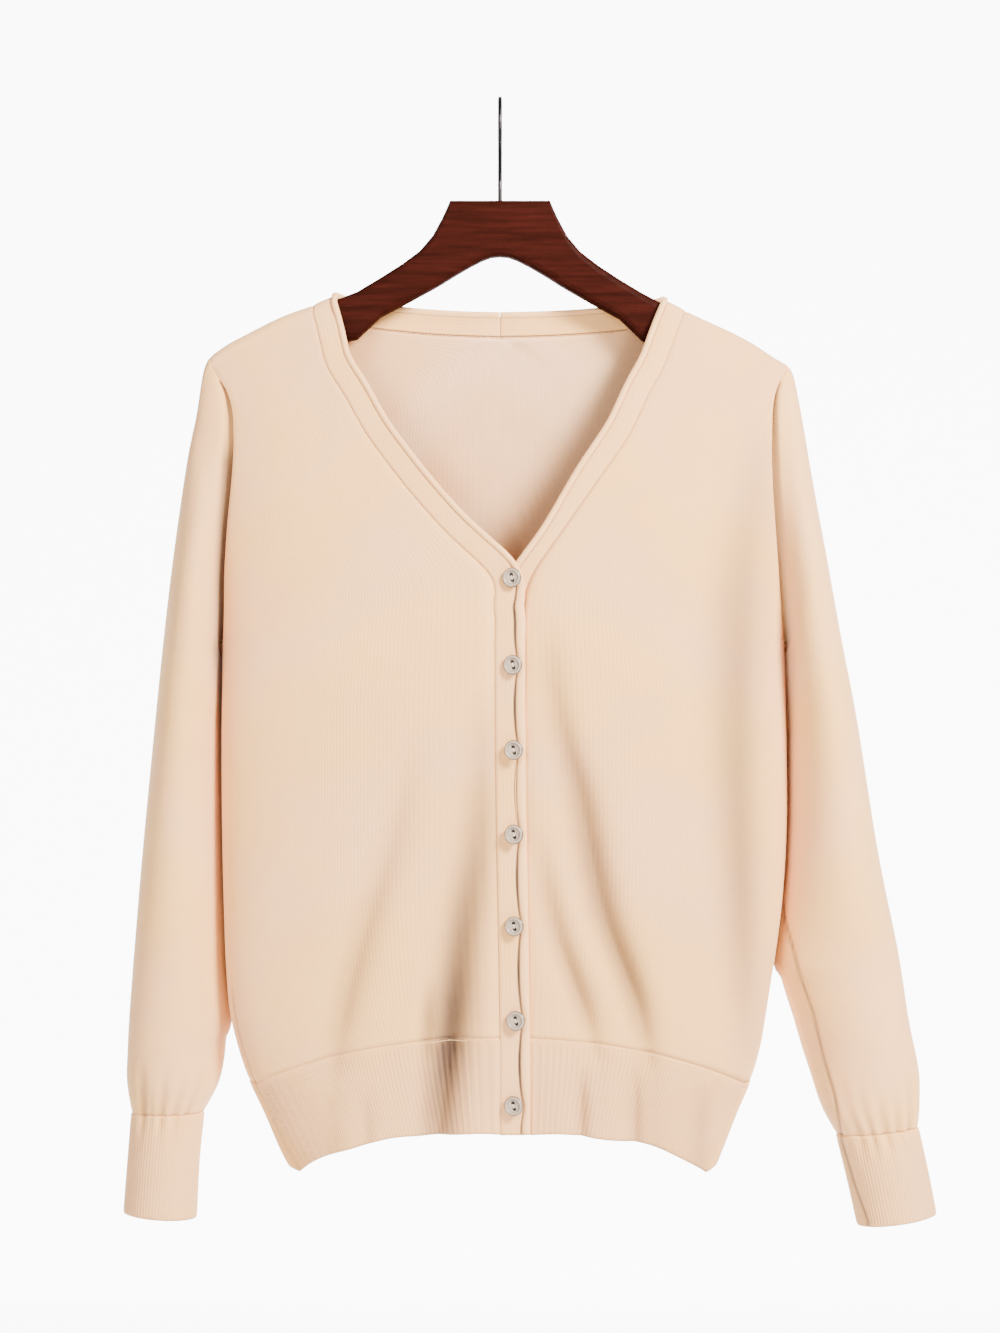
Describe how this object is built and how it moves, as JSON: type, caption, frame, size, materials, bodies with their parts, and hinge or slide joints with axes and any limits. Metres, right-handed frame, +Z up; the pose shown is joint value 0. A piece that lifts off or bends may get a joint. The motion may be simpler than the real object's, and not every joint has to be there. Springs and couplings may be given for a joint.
{
  "type": "button cardigan on a hanger",
  "caption": "V-neck fine-knit cardigan with ribbed hem and cuffs, rolled front trim and two-hole buttons, hanging on a wooden hanger with a wire hook.",
  "frame": {"origin": "the seat inside the top of the hanger's hook, where a rail carries it", "axes": "+Z up, -Y towards the garment's front, +X towards the wearer's left"},
  "size_m": [0.5529, 0.1001, 0.7669],
  "materials": {
    "panel_knit": "fine plain knit, matt",
    "rib_knit": "fine rib knit, matt",
    "band_knit": "flat knit band, matt",
    "trim_knit": "rolled knit edge, matt",
    "button": "pearly, satin",
    "wood": "red-brown stain under satin varnish",
    "hook_wire": "dark satin"
  },
  "bodies": {
    "root": {"back": "panel_knit", "right_front": "panel_knit", "left_front": "panel_knit", "right_sleeve": "panel_knit", "left_sleeve": "panel_knit", "right_front_hem": "rib_knit", "left_front_hem": "rib_knit", "back_hem": "rib_knit", "right_cuff": "rib_knit", "left_cuff": "rib_knit", "right_band": "band_knit", "left_band": "band_knit", "right_trim": "trim_knit", "left_trim": "trim_knit", "button_1": "button", "button_2": "button", "button_3": "button", "button_4": "button", "button_5": "button", "button_6": "button", "button_7": "button", "hanger": "wood", "hook": "hook_wire"}
  },
  "joints": []
}
